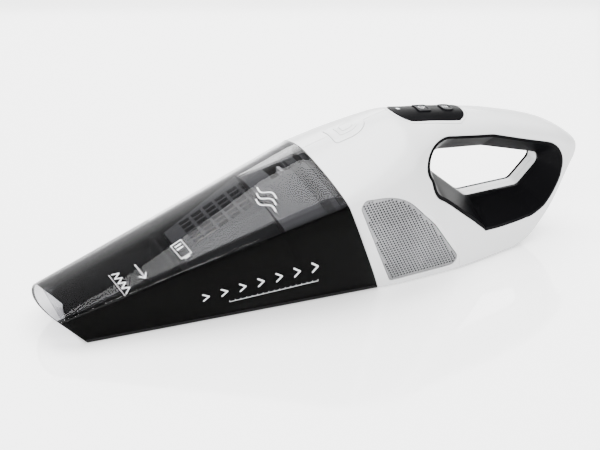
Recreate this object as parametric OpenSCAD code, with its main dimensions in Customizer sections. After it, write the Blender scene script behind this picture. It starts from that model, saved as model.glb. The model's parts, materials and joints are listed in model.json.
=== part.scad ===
// Handheld vacuum cleaner: clear dust cup, filter, motor body and loop handle.
// Nose towards -X, tail towards +X, up is +Z, the middle plane is Y = 0.
// Origin: middle of the length and width, on the flat bottom face. Millimetres.

/* [Body] */
// Length from nose tip to tail tip
body_len = 420; // [418:0.5:422]
// Wall thickness of the white housing
wall = 2.4; // [2.0:0.1:2.8]
// Forward lean of the cup joint, in mm of X for each mm of height
seam_lean = 0.422; // [0.40:0.01:0.44]
// Narrow gap left between cup and body
seam_gap = 0.4; // [0.3:0.1:0.6]

/* [Dust cup] */
// Wall thickness of the clear cup
cup_wall = 2.0; // [1.6:0.1:2.2]
// Half width of the nozzle mouth, outside
nose_half = 31; // [29:0.5:33]
// Height of the nose at the middle
nose_top = 25; // [24:0.5:26]

/* [Handle] */
// Half width of the white strip that lines the finger opening
strip_half = 8; // [7:0.5:9]
// Thickness of the black lining rings, measured in the side view
ring_thick = 2.2; // [1.8:0.1:2.6]

/* [Grille] */
// Radius of one grille hole
hole_r = 1.5; // [1.2:0.1:1.7]
// Distance between neighbouring grille holes
hole_pitch = 4.8; // [4.6:0.1:5.4]

/* [Controls] */
// Travel of the power and mode buttons
key_travel = 0.8; // [0.5:0.1:1.0]
// Travel of the cup release button
release_travel = 2.5; // [1.5:0.5:3]

/* [Motor and fan] */
// Height of the motor axis above the bottom
motor_z = 43; // [42:0.5:44]
// Radius of the motor can
motor_r = 17; // [15:0.5:17.5]
// Number of impeller blades
blade_count = 9; // [7:1:11]
// Radius of the shaft
shaft_r = 1.6; // [1.5:0.1:2]
// Radial gap between shaft and bearing
shaft_gap = 0.05; // [0.02:0.01:0.1]

/* [Battery] */
// Radius of one battery cell
cell_r = 9.2; // [9.1:0.05:9.25]
// Length of one battery cell
cell_len = 65; // [64:0.5:65.5]

/* [Hidden] */
eps = 0.01;
x_nose = -body_len / 2;
x_tail = body_len / 2;
nose_lean = 0.937;
lip_bow = 0.0047;
x_lip = x_nose + nose_lean * nose_top;
x_seam = 28;
seam_angle = atan(seam_lean);
top_z = 100.5;
flare_far = 57;
partition_x = -123;
flap_z = 39.5;
flap_x = partition_x + 4.6;
panel_x = 50;
panel_z = 118.6;
panel_tilt = 8.4;
shroud_x = 29.5;
shroud_len = 18;
shroud_r = 35;
motor_x = 48;
cells_x = 87;
cell_gap = 0.2;
cell_z = wall + 2.1 + cell_r;
cell_side = 11.5;
upper_cell_z = cell_z + sqrt(pow(2 * cell_r + cell_gap, 2) - pow(cell_side, 2));
screw_r = 1.5;
screw_len = 20;
screws = [[59, 9], [45, 97], [136, 97.4], [191, 63]];
release_x = 19;
facet_origin = [29, -44, 15];

// sections of the body: [x at z=0, lean, bottom z, bottom half width, corner radius, side half width, side z,
// shoulder half width, shoulder z, top z, roundness of the top]
body_rows = [
  [x_seam, seam_lean, 0, 40, 4, 57, 66, 57.3, 78, top_z, 1.5],
  [37, 0.2, 0, 41.2, 5, 56, 70, 55.2, 81, 109.2, 1.6],
  [51, 0, 0, 41.3, 5, 52, 66, 46, 89, 118.6, 1.5],
  [65, 0, 0, 40.6, 5, 49.5, 57, 34, 96.5, 117.2, 1.5],
  [81, 0, 0, 39.5, 5, 43, 52, 25.5, 99, 115, 1.75],
  [97, 0, 0, 37, 5, 38.5, 45, 21.5, 97.5, 112.7, 2],
  [112, 0, 0, 34, 5, 34.5, 37, 20.5, 95.5, 110.4, 2.1],
  [127, 0, 0, 30.5, 5, 30.8, 33, 20.3, 92.5, 107, 2.6],
  [143, 0, 0, 26.5, 5, 26.8, 31, 20, 88, 102.8, 3],
  [159, 0, 3, 23.3, 5, 23.6, 33, 19.6, 84, 98.5, 3],
  [173, 0, 14, 20.5, 5, 20.8, 40, 19, 80, 94, 3],
  [185, 0, 29, 18.2, 5, 18.8, 50, 17.8, 75.5, 89, 3],
  [194, 0, 44, 15.8, 5, 16.6, 58, 16, 70.5, 84, 2.8],
  [201, 0, 54.5, 13, 4, 13.8, 62.5, 13.4, 67.5, 79, 2.5],
  [206.5, 0, 60.5, 9.4, 2.5, 10.2, 65.2, 10, 67.4, 74.5, 2.3],
  [x_tail, 0, 64.5, 4.4, 1, 5, 66.6, 4.9, 67.4, 70.6, 2]
];
// sections of the cup, with the bow of the lip as one more number
cup_rows = [
  [x_lip, nose_lean, 0, nose_half - 1.5, 2.5, nose_half, 17.5, nose_half - 0.2, 20, nose_top, 1.7, lip_bow],
  [x_seam - seam_gap, seam_lean, 0, 40, 4, 57, 66, 57.3, 78, top_z - 0.2, 1.5, 0]
];

// circles whose outer tangents draw the finger opening, anticlockwise:
// [x, z, radius, spread of the flare at the start of the arc, at its end]
loop_circles = [
  [117, 50, 7, 0.3, 0.55],
  [156, 51, 7, 1.12, 1.6],
  [168.5, 63, 6.5, 1.68, 0.82],
  [123, 73.5, 8.8, 0.88, 0.87],
  [89, 78.2, 7.2, 0.92, 0.5],
  [86.8, 74, 5.6, 0.36, 0.24]
];
// the same for the grille, in the plane of the side facet
grille_circles = [
  [9.1, -4.9, 4, 0, 0],
  [57.6, -3.9, 5.2, 0, 0],
  [-7.3, -7.9, 60, 0, 0],
  [-13.6, 20, 45, 0, 0],
  [-20.7, 60.9, 4.5, 0, 0]
];
// crease that bounds the recessed side facet, in X and Z
facet_edge = [
  [-35, -20], [-35, 81.5], [-7, 81.4], [11, 81], [22, 80.6], [31, 78.6], [42, 72.5],
  [60.4, 57.5], [76.4, 40], [89.7, 20.8], [94.5, 7], [95, -20]
];

// Sub-part to draw

// half outline of one section, from the bottom middle round to the top middle, as [y, z]
function half_outline(r, t) =
  let (
    zb = r[2] + t,
    wb = r[3] - t,
    rb = max(r[4] - t, 0.4),
    wc = r[5] - t,
    zc = r[6],
    ws = r[7] - t,
    zs = r[8],
    zt = r[9] - t,
    power = 2 / r[10]
  )
  concat(
    [[0, zb]],
    [for (a = [0 : 30 : 90]) [wb - rb + rb * sin(a), zb + rb - rb * cos(a)]],
    [for (k = [0.33, 0.66, 1])
      [wb + (wc - wb) * k + 0.1 * k * (1 - k) * (zc - zb - rb), zb + rb + (zc - zb - rb) * k]],
    [[wc + (ws - wc) * 0.5 + 0.03 * (zs - zc), zc + (zs - zc) * 0.5]],
    [for (a = [0 : 10 : 80]) [ws * pow(cos(a), power), zs + (zt - zs) * pow(sin(a), power)]],
    [[0, zt]]
  );

// how far a section curves back, in mm per mm of half width squared
function bow(r) = len(r) > 11 ? r[11] : 0;

function row_points(r, t) =
  [for (p = half_outline(r, t)) [r[0] - r[1] * p[1] + bow(r) * p[0] * p[0], -p[0], p[1]]];

function between(a, b, k) = [for (i = [0 : len(a) - 1]) a[i] + (b[i] - a[i]) * k];

// a section of the cup at a distance k from the lip (0) to the seam (1)
function cup_row(k) = between(cup_rows[0], cup_rows[1], k);

// skin points of the cup, drawn straight on past either end
function cup_points(k, t) = between(full_points(cup_rows[0], t), full_points(cup_rows[1], t), k);

function full_points(r, t) =
  let (h = row_points(r, t), n = len(h))
  concat(h, [for (i = [n - 2 : -1 : 1]) [h[i][0], -h[i][1], h[i][2]]]);

// closed skin through rows of points; rows run towards +X, each row anticlockwise seen from -X
module skin(rows) {
  n = len(rows[0]);
  m = len(rows);
  points = [for (r = rows) each r];
  side = [for (i = [0 : m - 2]) for (j = [0 : n - 1])
    each [
      [i * n + j, (i + 1) * n + (j + 1) % n, (i + 1) * n + j],
      [i * n + j, i * n + (j + 1) % n, (i + 1) * n + (j + 1) % n]
    ]];
  cap_a = [for (j = [1 : n - 2]) [0, j + 1, j]];
  cap_b = [for (j = [1 : n - 2]) [(m - 1) * n, (m - 1) * n + j, (m - 1) * n + j + 1]];
  polyhedron(points = points, faces = concat(side, cap_a, cap_b), convexity = 8);
}

// outward normal angle of the tangent from circle a to circle b
function tangent_angle(a, b) =
  let (d = [b[0] - a[0], b[1] - a[1]], dist = norm(d))
  atan2(d[1], d[0]) - 90 + asin((a[2] - b[2]) / dist);

function unwrap(a, low) = a < low ? unwrap(a + 360, low) : (a >= low + 360 ? unwrap(a - 360, low) : a);

// points on the arc of circle i of a chain, grown by d: [x, z, normal angle, spread]
function chain_arc(c, i, d, steps) =
  let (
    n = len(c),
    a0 = tangent_angle(c[(i + n - 1) % n], c[i]),
    a1 = unwrap(tangent_angle(c[i], c[(i + 1) % n]), a0)
  )
  [for (s = [0 : steps])
    let (a = a0 + (a1 - a0) * s / steps)
    [c[i][0] + (c[i][2] + d) * cos(a), c[i][1] + (c[i][2] + d) * sin(a), a,
      c[i][3] + (c[i][4] - c[i][3]) * pow(s / steps, 2)]
  ];

// points round the whole chain, with steps on each arc and more points on each straight stretch
function chain(c, d, steps, more = 0) =
  [for (i = [0 : len(c) - 1])
    let (
      arc = chain_arc(c, i, d, steps),
      last = arc[steps],
      next = chain_arc(c, (i + 1) % len(c), d, steps)[0]
    )
    each concat(arc, [for (k = [1 : 1 : more])
      let (p = between(last, next, k / (more + 1)))
      [p[0], p[1], last[2], p[3]]])
  ];

function flat(points) = [for (p = points) [p[0], p[1]]];

// true when p lies inside the closed edge by at least the margin
function inside(edge, p, margin) =
  min([for (q = edge) (q[0] - p[0]) * cos(q[2]) + (q[1] - p[1]) * sin(q[2])]) > margin;

module prism_y(points, y0, y1) {
  translate([0, y1, 0])
    rotate([90, 0, 0])
      linear_extrude(height = y1 - y0)
        polygon(points);
}

// the chain spread outwards to a distance y from the middle plane, on the left
function flare_row(d, y) =
  [for (p = chain(loop_circles, d, 5, 3))
    [p[0] + p[3] * (y - strip_half) * cos(p[2]), -y, p[1] + p[3] * (y - strip_half) * sin(p[2])]];

// left-hand flared space of the finger opening, grown by d
module flare_left(d, near) {
  skin([flare_row(d, flare_far), flare_row(d, near)]);
}

module body_half(t) {
  skin([for (r = body_rows) row_points(r, t)]);
}

module body_full(t) {
  skin([for (r = body_rows) full_points(r, t)]);
}

// inside of one housing half, open at the seam and a little past the middle plane
module body_half_inner() {
  rows = concat([between(body_rows[0], body_rows[1], -0.5)],
    [for (i = [1 : len(body_rows) - 2]) body_rows[i]]);
  skin([for (r = rows) [for (p = row_points(r, wall)) [p[0], abs(p[1]) < 0.001 ? 1 : p[1], p[2]]]]);
}

// slab parallel to the seam, from one distance behind it to another
module seam_slab(u0, u1) {
  translate([x_seam, 0, 0])
    rotate([0, -seam_angle, 0])
      translate([u0, -80, -60])
        cube([u1 - u0, 160, 220]);
}

module left_facet() {
  translate(facet_origin)
    rotate([0, 0, 4.86])
      rotate([9.7, 0, 0])
        children();
}

module facet_slab(points, t0, t1) {
  left_facet()
    prism_y(points, t0, t1);
}

module panel_frame() {
  translate([panel_x, 0, panel_z])
    rotate([0, panel_tilt, 0])
      children();
}

// plan outline of the control panel
function panel_outline(d) =
  let (
    half = [[3 - d, 2], [4.2 - d, 5.4 + d], [6.2 - d / 2, 9 + d], [9, 12 + d], [12.5, 13.9 + d], [17, 14.6 + d],
      [50, 14.6 + d], [54.8, 13.4 + d], [58.2 + d, 10.4], [59.6 + d, 6]]
  )
  concat(half, [for (i = [len(half) - 1 : -1 : 0]) [half[i][0], -half[i][1]]]);

module panel_prism(d, z0, z1) {
  panel_frame()
    translate([0, 0, z0])
      linear_extrude(height = z1 - z0)
        polygon(panel_outline(d));
}

// plan outline of the cup release button: straight front edge, rounded rear
function release_outline(x0, x1, y, r, d) =
  let (xm = x0 + (x1 - x0) * 0.42)
  concat(
    [for (a = [180 : 15 : 270]) [x0 + r + (r + d) * cos(a), -y + r + (r + d) * sin(a)]],
    [for (a = [-90 : 10 : 90]) [xm + (x1 - xm + d) * cos(a), (y + d) * sin(a)]],
    [for (a = [90 : 15 : 180]) [x0 + r + (r + d) * cos(a), y - r + (r + d) * sin(a)]]
  );

module release_prism(x0, x1, y, r, d) {
  translate([0, 0, 92])
    linear_extrude(height = 33)
      polygon(release_outline(x0, x1, y, r, d));
}

module rounded_box(x0, x1, y0, y1, z0, z1, r) {
  translate([x0 + r, y0, z0])
    cube([x1 - x0 - 2 * r, y1 - y0, z1 - z0]);
  translate([x0, y0 + r, z0])
    cube([x1 - x0, y1 - y0 - 2 * r, z1 - z0]);
  for (x = [x0 + r, x1 - r]) {
    for (y = [y0 + r, y1 - r]) {
      translate([x, y, z0])
        cylinder(h = z1 - z0, r = r, $fn = 48);
    }
  }
}

module along_x(x0, x1, y, z, r) {
  translate([x0, y, z])
    rotate([0, 90, 0])
      cylinder(h = x1 - x0, r = r, $fn = 64);
}

module along_y(y0, y1, x, z, r) {
  translate([x, y1, z])
    rotate([90, 0, 0])
      cylinder(h = y1 - y0, r = r, $fn = 48);
}

module release_window(d) {
  release_prism(6, 32, 12.2, 3, d);
}

module socket_frame() {
  translate([172.5, 0, 13.5])
    rotate([0, 135, 0])
      children();
}

// cross wall inside one housing half, with a round seat for the motor or the shroud
module rib(x0, x1, r, z_top) {
  difference() {
    intersection() {
      body_half(wall / 2);
      translate([x0, -80, 0])
        cube([x1 - x0, 80, z_top]);
    }
    along_x(x0 - 1, x1 + 1, 0, motor_z, r);
  }
}

// white housing: one half, drawn on the -Y side
module housing_half(is_left) {
  difference() {
    union() {
      difference() {
        body_half(0);
        body_half_inner();
      }
      intersection() {
        body_half(0);
        union() {
          prism_y(flat(chain(loop_circles, 4.4, 5)), -strip_half - 1, 0);
          flare_left(ring_thick + 0.15 + 2.4, strip_half);
          for (s = screws) {
            along_y(-60, -0.05, s[0], s[1], 4.4);
          }
          socket_boss();
          facet_wall();
        }
      }
      rib(35, 37.4, shroud_r + 0.2, 78);
      rib(68, 70.4, motor_r + 4.2, 62);
    }
    prism_y(flat(chain(loop_circles, 0, 5)), -strip_half - 2, 1);
    flare_left(ring_thick + 0.15, strip_half);
    difference() {
      panel_prism(0.3, -14, 10);
      body_full(1.3);
    }
    panel_prism(-2.2, -14, 10);
    release_window(0.4);
    facet_cut();
    facet_slab(flat(chain(grille_circles, 0.4, 6)), -20, 1.5);
    facet_slab(flat(chain(grille_circles, -2.6, 6)), -20, 12);
    for (s = screws) {
      along_y(-9, 1, s[0], s[1], screw_r + (is_left ? 0.03 : 0.25));
      if (!is_left) {
        along_y(-80, -8, s[0], s[1], 2.8);
      }
    }
    socket_frame()
      translate([0, 0, -16])
        cylinder(h = 40, r = 4.35, $fn = 48);
  }
}

module socket_boss() {
  socket_frame()
    translate([0, 0, -15])
      cylinder(h = 30, r = 6.6, $fn = 48);
}

// flat wall behind the recessed side facet
module facet_wall() {
  intersection() {
    prism_y(facet_edge, -90, 0);
    left_facet()
      translate([-80, -0.01, -60])
        cube([200, 3.9, 200]);
  }
}

module facet_cut() {
  intersection() {
    prism_y(facet_edge, -90, 0);
    left_facet()
      translate([-80, -40, -60])
        cube([200, 40, 200]);
  }
}

module housing_left() {
  color([0.93, 0.93, 0.92])
    housing_half(true);
}

module housing_right() {
  color([0.93, 0.93, 0.92])
    mirror([0, 1, 0])
      housing_half(false);
}

module grille_plate() {
  edge = chain(grille_circles, 0, 6);
  left_facet() {
    difference() {
      prism_y(flat(chain(grille_circles, 0, 6)), 0, 1.4);
      for (row = [-2 : 15]) {
        for (col = [-8 : 13]) {
          p = [col * hole_pitch + (row % 2 == 0 ? 0 : hole_pitch / 2), row * hole_pitch * sin(60)];
          if (inside(edge, p, 3.1)) {
            along_y(-1, 3, p[0], p[1], hole_r);
          }
        }
      }
    }
  }
}

module grille_left() {
  color([0.72, 0.73, 0.75])
    grille_plate();
}

module grille_right() {
  color([0.72, 0.73, 0.75])
    mirror([0, 1, 0])
      grille_plate();
}

module foam_slab() {
  facet_slab(flat(chain(grille_circles, -3.2, 2)), 4.2, 8.2);
}

module exhaust_foam_left() {
  color([0.12, 0.12, 0.13])
    foam_slab();
}

module exhaust_foam_right() {
  color([0.12, 0.12, 0.13])
    mirror([0, 1, 0])
      foam_slab();
}

module ring_half() {
  difference() {
    intersection() {
      body_half(0);
      flare_left(ring_thick, strip_half + 0.15);
    }
    flare_left(0, strip_half - 1);
  }
}

module handle_ring_left() {
  color([0.05, 0.05, 0.06])
    ring_half();
}

module handle_ring_right() {
  color([0.05, 0.05, 0.06])
    mirror([0, 1, 0])
      ring_half();
}

// row of a chamfered rectangle for skin(): lean as in the body rows
function box_row(x, lean, y, z0, z1, c) =
  [for (p = [[-y + c, z0], [-y, z0 + c], [-y, z1 - c], [-y + c, z1], [y - c, z1], [y, z1 - c], [y, z0 + c], [y - c, z0]])
    [x - lean * p[1], p[0], p[1]]];

module box_tube(a, b, t, more) {
  difference() {
    skin([box_row(a[0], a[1], a[2], a[3], a[4], a[5]), box_row(b[0], b[1], b[2], b[3], b[4], b[5])]);
    skin([
      box_row(a[0] - more, a[1], a[2] - t, a[3] + t, a[4] - t, a[5]),
      box_row(b[0] + more, b[1], b[2] - t, b[3] + t, b[4] - t, b[5])
    ]);
  }
}

// hollow band with the cup's own section, between two distances along the cup
module cup_band(k0, k1, t0, t1) {
  difference() {
    skin([cup_points(k0, t0), cup_points(k1, t0)]);
    skin([cup_points(k0 - 0.01, t1), cup_points(k1 + 0.01, t1)]);
  }
}

module dust_cup() {
  color([0.35, 0.36, 0.38, 0.5])
    difference() {
      skin([cup_points(0, 0), cup_points(1, 0)]);
      skin([cup_points(-0.06, cup_wall), cup_points(1.06, cup_wall)]);
    }
}

module inlet_duct() {
  color([0.3, 0.31, 0.33])
    box_tube([x_lip + 5.5, nose_lean, 26, cup_wall + 0.4, 18.5, 2.5], [partition_x - 0.2, 0, 22, 8, 38, 3], 1.6, 0.5);
}

module cup_partition() {
  color([0.45, 0.46, 0.48])
    difference() {
      union() {
        intersection() {
          skin([cup_points(-0.06, cup_wall + 0.25), cup_points(1.06, cup_wall + 0.25)]);
          translate([partition_x, -80, 0])
            cube([2, 160, 120]);
        }
        for (y = [-24.6, 22.4]) {
          translate([partition_x + 1, y, flap_z - 3])
            cube([6, 2.2, 6]);
        }
      }
      translate([partition_x - 1, -20.2, 9.8])
        cube([4, 40.4, 26.4]);
      along_y(-30, 30, flap_x, flap_z, 1.02);
    }
}

module flap_pin() {
  color([0.7, 0.7, 0.72])
    along_y(-24.4, 24.4, flap_x, flap_z, 1);
}

module inlet_flap() {
  color([0.1, 0.1, 0.1])
    difference() {
      union() {
        along_y(-22, 22, flap_x, flap_z, 2.1);
        translate([partition_x + 2.4, -21.6, 9])
          cube([1.4, 43.2, flap_z - 9]);
        translate([partition_x + 3.6, -18, 12])
          cube([0.8, 36, 2]);
      }
      along_y(-30, 30, flap_x, flap_z, 1.06);
    }
}

module cup_catch() {
  color([0.2, 0.2, 0.21])
    translate([-29, -5, 88.6])
      cube([5, 10, 2.4]);
}

module cup_seal() {
  color([0.08, 0.08, 0.08])
    cup_band(0.93, 0.96, cup_wall + 0.1, cup_wall + 0.85);
}

module filter_frame() {
  color([0.55, 0.56, 0.58])
    difference() {
      union() {
        cup_band(0.781, 0.98, 3.2, 4.8);
        difference() {
          skin([cup_points(0.781, 3.2), cup_points(0.8, 3.2)]);
          skin([box_row(-40, 0.5, 33, 15, 70, 6), box_row(0, 0.5, 33, 15, 70, 6)]);
        }
      }
      translate([-41, -9, 80])
        cube([32, 18, 20]);
    }
}

module filter_cage() {
  color([0.16, 0.16, 0.17])
    difference() {
      box_tube([-92, seam_lean, 22, 12, 47, 5], [-19.9, 0.455, 35.5, 12, 75, 7], 1.6, 0.4);
      for (i = [0 : 6]) {
        translate([-95 + i * 9, -60, 17])
          cube([7, 120, 5.2]);
        translate([-98 + i * 9, -60, 24])
          cube([7, 120, 5.2]);
        translate([-101 + i * 9, -60, 31])
          cube([7, 120, 5.2]);
      }
      for (y = [-15 : 6 : 15]) {
        for (i = [0 : 5]) {
          translate([-101 + i * 9, y - 2.2, 30])
            cube([7, 4.4, 60]);
        }
      }
    }
}

module filter_pleats() {
  count = 12;
  step = 36 / count;
  front = [for (i = [0 : count]) [i % 2 == 0 ? -87 : -49, -18 + i * step]];
  back = [for (i = [count : -1 : 0]) [i % 2 == 0 ? -78 : -40, -18 + i * step]];
  color([0.85, 0.84, 0.8])
    translate([0, 0, 16])
      linear_extrude(height = 26)
        polygon(concat(front, back));
}

module filter_gasket() {
  color([0.08, 0.08, 0.08])
    cup_band(0.982, 0.9985, 3.4, 6);
}

module motor_bulkhead() {
  color([0.25, 0.25, 0.27])
    difference() {
      intersection() {
        body_full(wall + 0.3);
        seam_slab(0.9, 3.9);
      }
      for (row = [-3 : 3]) {
        for (col = [-3 : 3]) {
          y = (col + (row % 2 == 0 ? 0 : 0.5)) * 6.4;
          z = row * 5.54;
          if (norm([y, z]) < 20) {
            along_x(-40, 60, y, motor_z + z, 2.5);
          }
        }
      }
      translate([-60, -5, 81.2])
        cube([100, 10, 8]);
      for (side = [0, 1]) {
        mirror([0, side, 0])
          left_facet()
            translate([-80, -40, -60])
              cube([200, 44.2, 200]);
      }
    }
}

module fan_shroud() {
  color([0.3, 0.3, 0.32])
    difference() {
      along_x(shroud_x, shroud_x + shroud_len, 0, motor_z, shroud_r);
      along_x(shroud_x + 1.5, shroud_x + shroud_len - 1.5, 0, motor_z, shroud_r - 1.6);
      along_x(shroud_x - 1, shroud_x + 3, 0, motor_z, 15);
      along_x(shroud_x + 10, shroud_x + shroud_len + 1, 0, motor_z, 8);
      for (a = [0 : 40 : 320]) {
        along_x(shroud_x + 10, shroud_x + shroud_len + 1, 26 * cos(a), motor_z + 26 * sin(a), 5);
      }
    }
}

module fan_impeller() {
  color([0.15, 0.15, 0.16])
    difference() {
      union() {
        along_x(shroud_x + 13, shroud_x + 14.5, 0, motor_z, 31);
        along_x(shroud_x + 3.5, shroud_x + 14, 0, motor_z, 5);
        translate([0, 0, motor_z])
          for (i = [0 : blade_count - 1]) {
            rotate([i * 360 / blade_count, 0, 0])
              translate([shroud_x + 4, 3.4, 0])
                cube([9.5, 26, 1.2]);
          }
      }
      along_x(shroud_x, shroud_x + 20, 0, motor_z, shaft_r + 0.02);
    }
}

module motor_shaft() {
  color([0.75, 0.75, 0.77])
    along_x(shroud_x + 0.6, 87, 0, motor_z, shaft_r);
}

module motor_rotor() {
  color([0.5, 0.3, 0.18])
    difference() {
      union() {
        along_x(54, 75, 0, motor_z, 10.4);
        along_x(75.5, 78.5, 0, motor_z, 4);
        along_x(74, 76, 0, motor_z, 3);
      }
      along_x(45, 85, 0, motor_z, shaft_r + 0.02);
    }
}

module shaft_nut() {
  color([0.7, 0.7, 0.72])
    difference() {
      translate([shroud_x + 1.2, 0, motor_z])
        rotate([0, 90, 0])
          cylinder(h = 2.2, r = 3.2, $fn = 6);
      along_x(shroud_x, shroud_x + 5, 0, motor_z, shaft_r + 0.02);
    }
}

module motor_can() {
  color([0.7, 0.71, 0.73])
    difference() {
      along_x(motor_x, motor_x + 32, 0, motor_z, motor_r);
      along_x(motor_x + 1.8, motor_x + 33, 0, motor_z, motor_r - 1.2);
      along_x(motor_x - 1, motor_x + 3, 0, motor_z, 4.04);
    }
}

module motor_magnets() {
  color([0.2, 0.2, 0.22])
    for (side = [0, 180]) {
      translate([55, 0, motor_z])
        rotate([side, 0, 0])
          rotate([0, 90, 0])
            rotate([0, 0, 35])
              rotate_extrude(angle = 110, $fn = 96)
                translate([motor_r - 5.4, 0])
                  square([4, 19]);
    }
}

module motor_end_cap() {
  color([0.12, 0.12, 0.13])
    difference() {
      union() {
        along_x(motor_x + 32.1, motor_x + 35, 0, motor_z, motor_r);
        for (y = [-9, 9]) {
          translate([motor_x + 34, y - 1.5, motor_z + 4])
            cube([5, 3, 0.8]);
        }
      }
      along_x(motor_x + 30, motor_x + 40, 0, motor_z, 4.04);
    }
}

module motor_bearings() {
  color([0.75, 0.6, 0.3])
    for (x = [motor_x + 0.1, motor_x + 32.5]) {
      difference() {
        along_x(x, x + 1.9, 0, motor_z, 4);
        along_x(x - 1, x + 4, 0, motor_z, shaft_r + shaft_gap);
      }
    }
}

module motor_mount() {
  color([0.08, 0.08, 0.08])
    difference() {
      along_x(66.4, 72, 0, motor_z, motor_r + 4);
      along_x(65, 73, 0, motor_z, motor_r + 0.1);
    }
}

cell_spots = [[-cell_side, cell_z], [cell_side, cell_z], [0, upper_cell_z]];

module battery_cells() {
  color([0.2, 0.5, 0.35])
    for (c = cell_spots) {
      along_x(cells_x, cells_x + cell_len, c[0], c[1], cell_r);
      along_x(cells_x + cell_len - eps, cells_x + cell_len + 0.3, c[0], c[1], 3);
    }
}

module cell_straps() {
  color([0.78, 0.78, 0.76])
    union() {
      translate([cells_x - 0.35, -cell_side - 3, cell_z - 3])
        cube([0.3, 2 * cell_side + 6, 6]);
      translate([cells_x - 0.35, -3, upper_cell_z - 3])
        cube([0.3, 6, 6]);
      translate([cells_x + cell_len + 0.35, -cell_side - 3, cell_z - 3])
        cube([0.3, 2 * cell_side + 6, 6]);
      translate([cells_x + cell_len + 0.35, -3, upper_cell_z - 3])
        cube([0.3, 6, 6]);
    }
}

module battery_holder() {
  color([0.1, 0.1, 0.1])
    for (x = [cells_x - 2.2, cells_x + cell_len + 0.75]) {
      for (c = cell_spots) {
        along_x(x, x + 1.7, c[0], c[1], 8.8);
      }
      translate([x, -cell_side, cell_z - 6])
        cube([1.7, 2 * cell_side, 14]);
      translate([x, -6, cell_z])
        cube([1.7, 12, upper_cell_z - cell_z]);
    }
}

module battery_board() {
  color([0.1, 0.35, 0.15])
    translate([155.2, -8.5, 6.5])
      cube([1.6, 17, 28]);
}

module charge_socket() {
  color([0.06, 0.06, 0.06])
    socket_frame()
      difference() {
        translate([0, 0, -14])
          cylinder(h = 13.6, r = 4.2, $fn = 48);
        difference() {
          translate([0, 0, -11])
            cylinder(h = 12, r = 2.8, $fn = 48);
          translate([0, 0, -12])
            cylinder(h = 9.5, r = 0.9, $fn = 32);
        }
      }
}

// wire through points that run upwards, drawn with eight sides
module wire(points, r) {
  skin([for (p = points) [for (a = [0 : 45 : 315]) [p[0] + r * cos(a), p[1] - r * sin(a), p[2]]]]);
}

module wiring() {
  color([0.6, 0.1, 0.1]) {
    wire([[88.2, -9, 47.4], [84.8, -9, 60], [74.5, -9, 67], [73, -9, 96], [77, -9, 103.2]], 0.9);
    wire([[88.2, 9, 47.4], [84.8, 9, 60], [74.5, 9, 67], [73, 9, 96], [77, 9, 103.2]], 0.9);
    wire([[86, 14, 26], [85, 14, 55.5], [73.4, 14, 65], [70.5, 14, 92], [75, 6, 103.2]], 0.9);
    wire([[86, -14, 26], [85, -14, 55.5], [73.4, -14, 65], [70.5, -14, 92], [75, -6, 103.2]], 0.9);
  }
}

module control_panel() {
  color([0.04, 0.04, 0.05])
    union() {
      difference() {
        intersection() {
          body_full(-0.5);
          panel_prism(0, -14, 10);
        }
        body_full(1.2);
        panel_frame() {
          rounded_box(23.1, 34.2, -6.5, 6.5, -8, 6, 1.9);
          rounded_box(43.5, 53.3, -6.3, 6.3, -8, 6, 3.5);
          translate([9.5, 0, -8])
            cylinder(h = 14, r = 1.65, $fn = 32);
        }
      }
      panel_frame()
        for (x = [17.5, 38.8]) {
          translate([x, 0, -8])
            cylinder(h = 8.4, r = 1.5, $fn = 32);
        }
    }
}

module key(x0, x1, y, r) {
  intersection() {
    body_full(-1.3);
    panel_frame()
      rounded_box(x0, x1, -y, y, -4.2, 6, r);
  }
  panel_frame() {
    rounded_box(x0 - 1.3, x1 + 1.3, -y - 1.3, y + 1.3, -4.9, -3.9, r + 1.3);
    translate([(x0 + x1) / 2, 0, -5.2])
      cylinder(h = 1.2, r = 2, $fn = 32);
  }
}

module power_button() {
  color([0.09, 0.09, 0.1])
    union() {
      key(23.4, 33.9, 6.2, 1.6);
    }
}

module mode_button() {
  color([0.09, 0.09, 0.1])
    union() {
      key(43.8, 53, 6, 3.2);
    }
}

module indicator_lens() {
  color([0.8, 0.85, 0.9])
    panel_frame()
      translate([9.5, 0, -5.6])
        cylinder(h = 6.6, r = 1.6, $fn = 32);
}

module indicator_led() {
  color([0.9, 0.9, 0.85])
    panel_frame()
      translate([8.1, -1, -7.95])
        cube([2.8, 2, 1.2]);
}

module control_board() {
  color([0.08, 0.3, 0.14])
    panel_frame()
      translate([6.5, -10.5, -9.6])
        cube([50, 21, 1.55]);
}

module tact_switch(x) {
  panel_frame()
    union() {
      translate([x - 3, -3, -7.95])
        cube([6, 6, 1.5]);
      translate([x, 0, -7])
        cylinder(h = 0.8, r = 1.6, $fn = 24);
    }
}

module power_switch() {
  color([0.3, 0.3, 0.3])
    tact_switch(28.65);
}

module mode_switch() {
  color([0.3, 0.3, 0.3])
    tact_switch(48.4);
}

module release_button() {
  color([0.94, 0.94, 0.93])
    union() {
      difference() {
        union() {
          intersection() {
            body_full(-0.5);
            release_prism(6, 32, 12.2, 3, 0);
          }
          intersection() {
            body_full(-1.1);
            release_prism(11.5, 26.5, 7, 2, 0);
          }
        }
        body_full(2);
      }
      translate([release_x, 0, 106.1])
        cylinder(h = 3, r = 5.6, $fn = 48);
    }
}

module release_latch() {
  color([0.9, 0.9, 0.88])
    union() {
      translate([release_x, 0, 85])
        cylinder(h = 21, r = 2.2, $fn = 32);
      translate([-32.5, -4, 84.4])
        cube([55.5, 8, 2.2]);
      translate([-32.5, -4, 84.4])
        cube([2.4, 8, 3.8]);
    }
}

module spring_seat() {
  color([0.9, 0.9, 0.88])
    difference() {
      intersection() {
        body_full(wall + 0.1);
        translate([12.5, -80, 87.3])
          cube([14, 160, 1.4]);
      }
      translate([release_x, 0, 80])
        cylinder(h = 20, r = 2.6, $fn = 32);
    }
}

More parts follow.
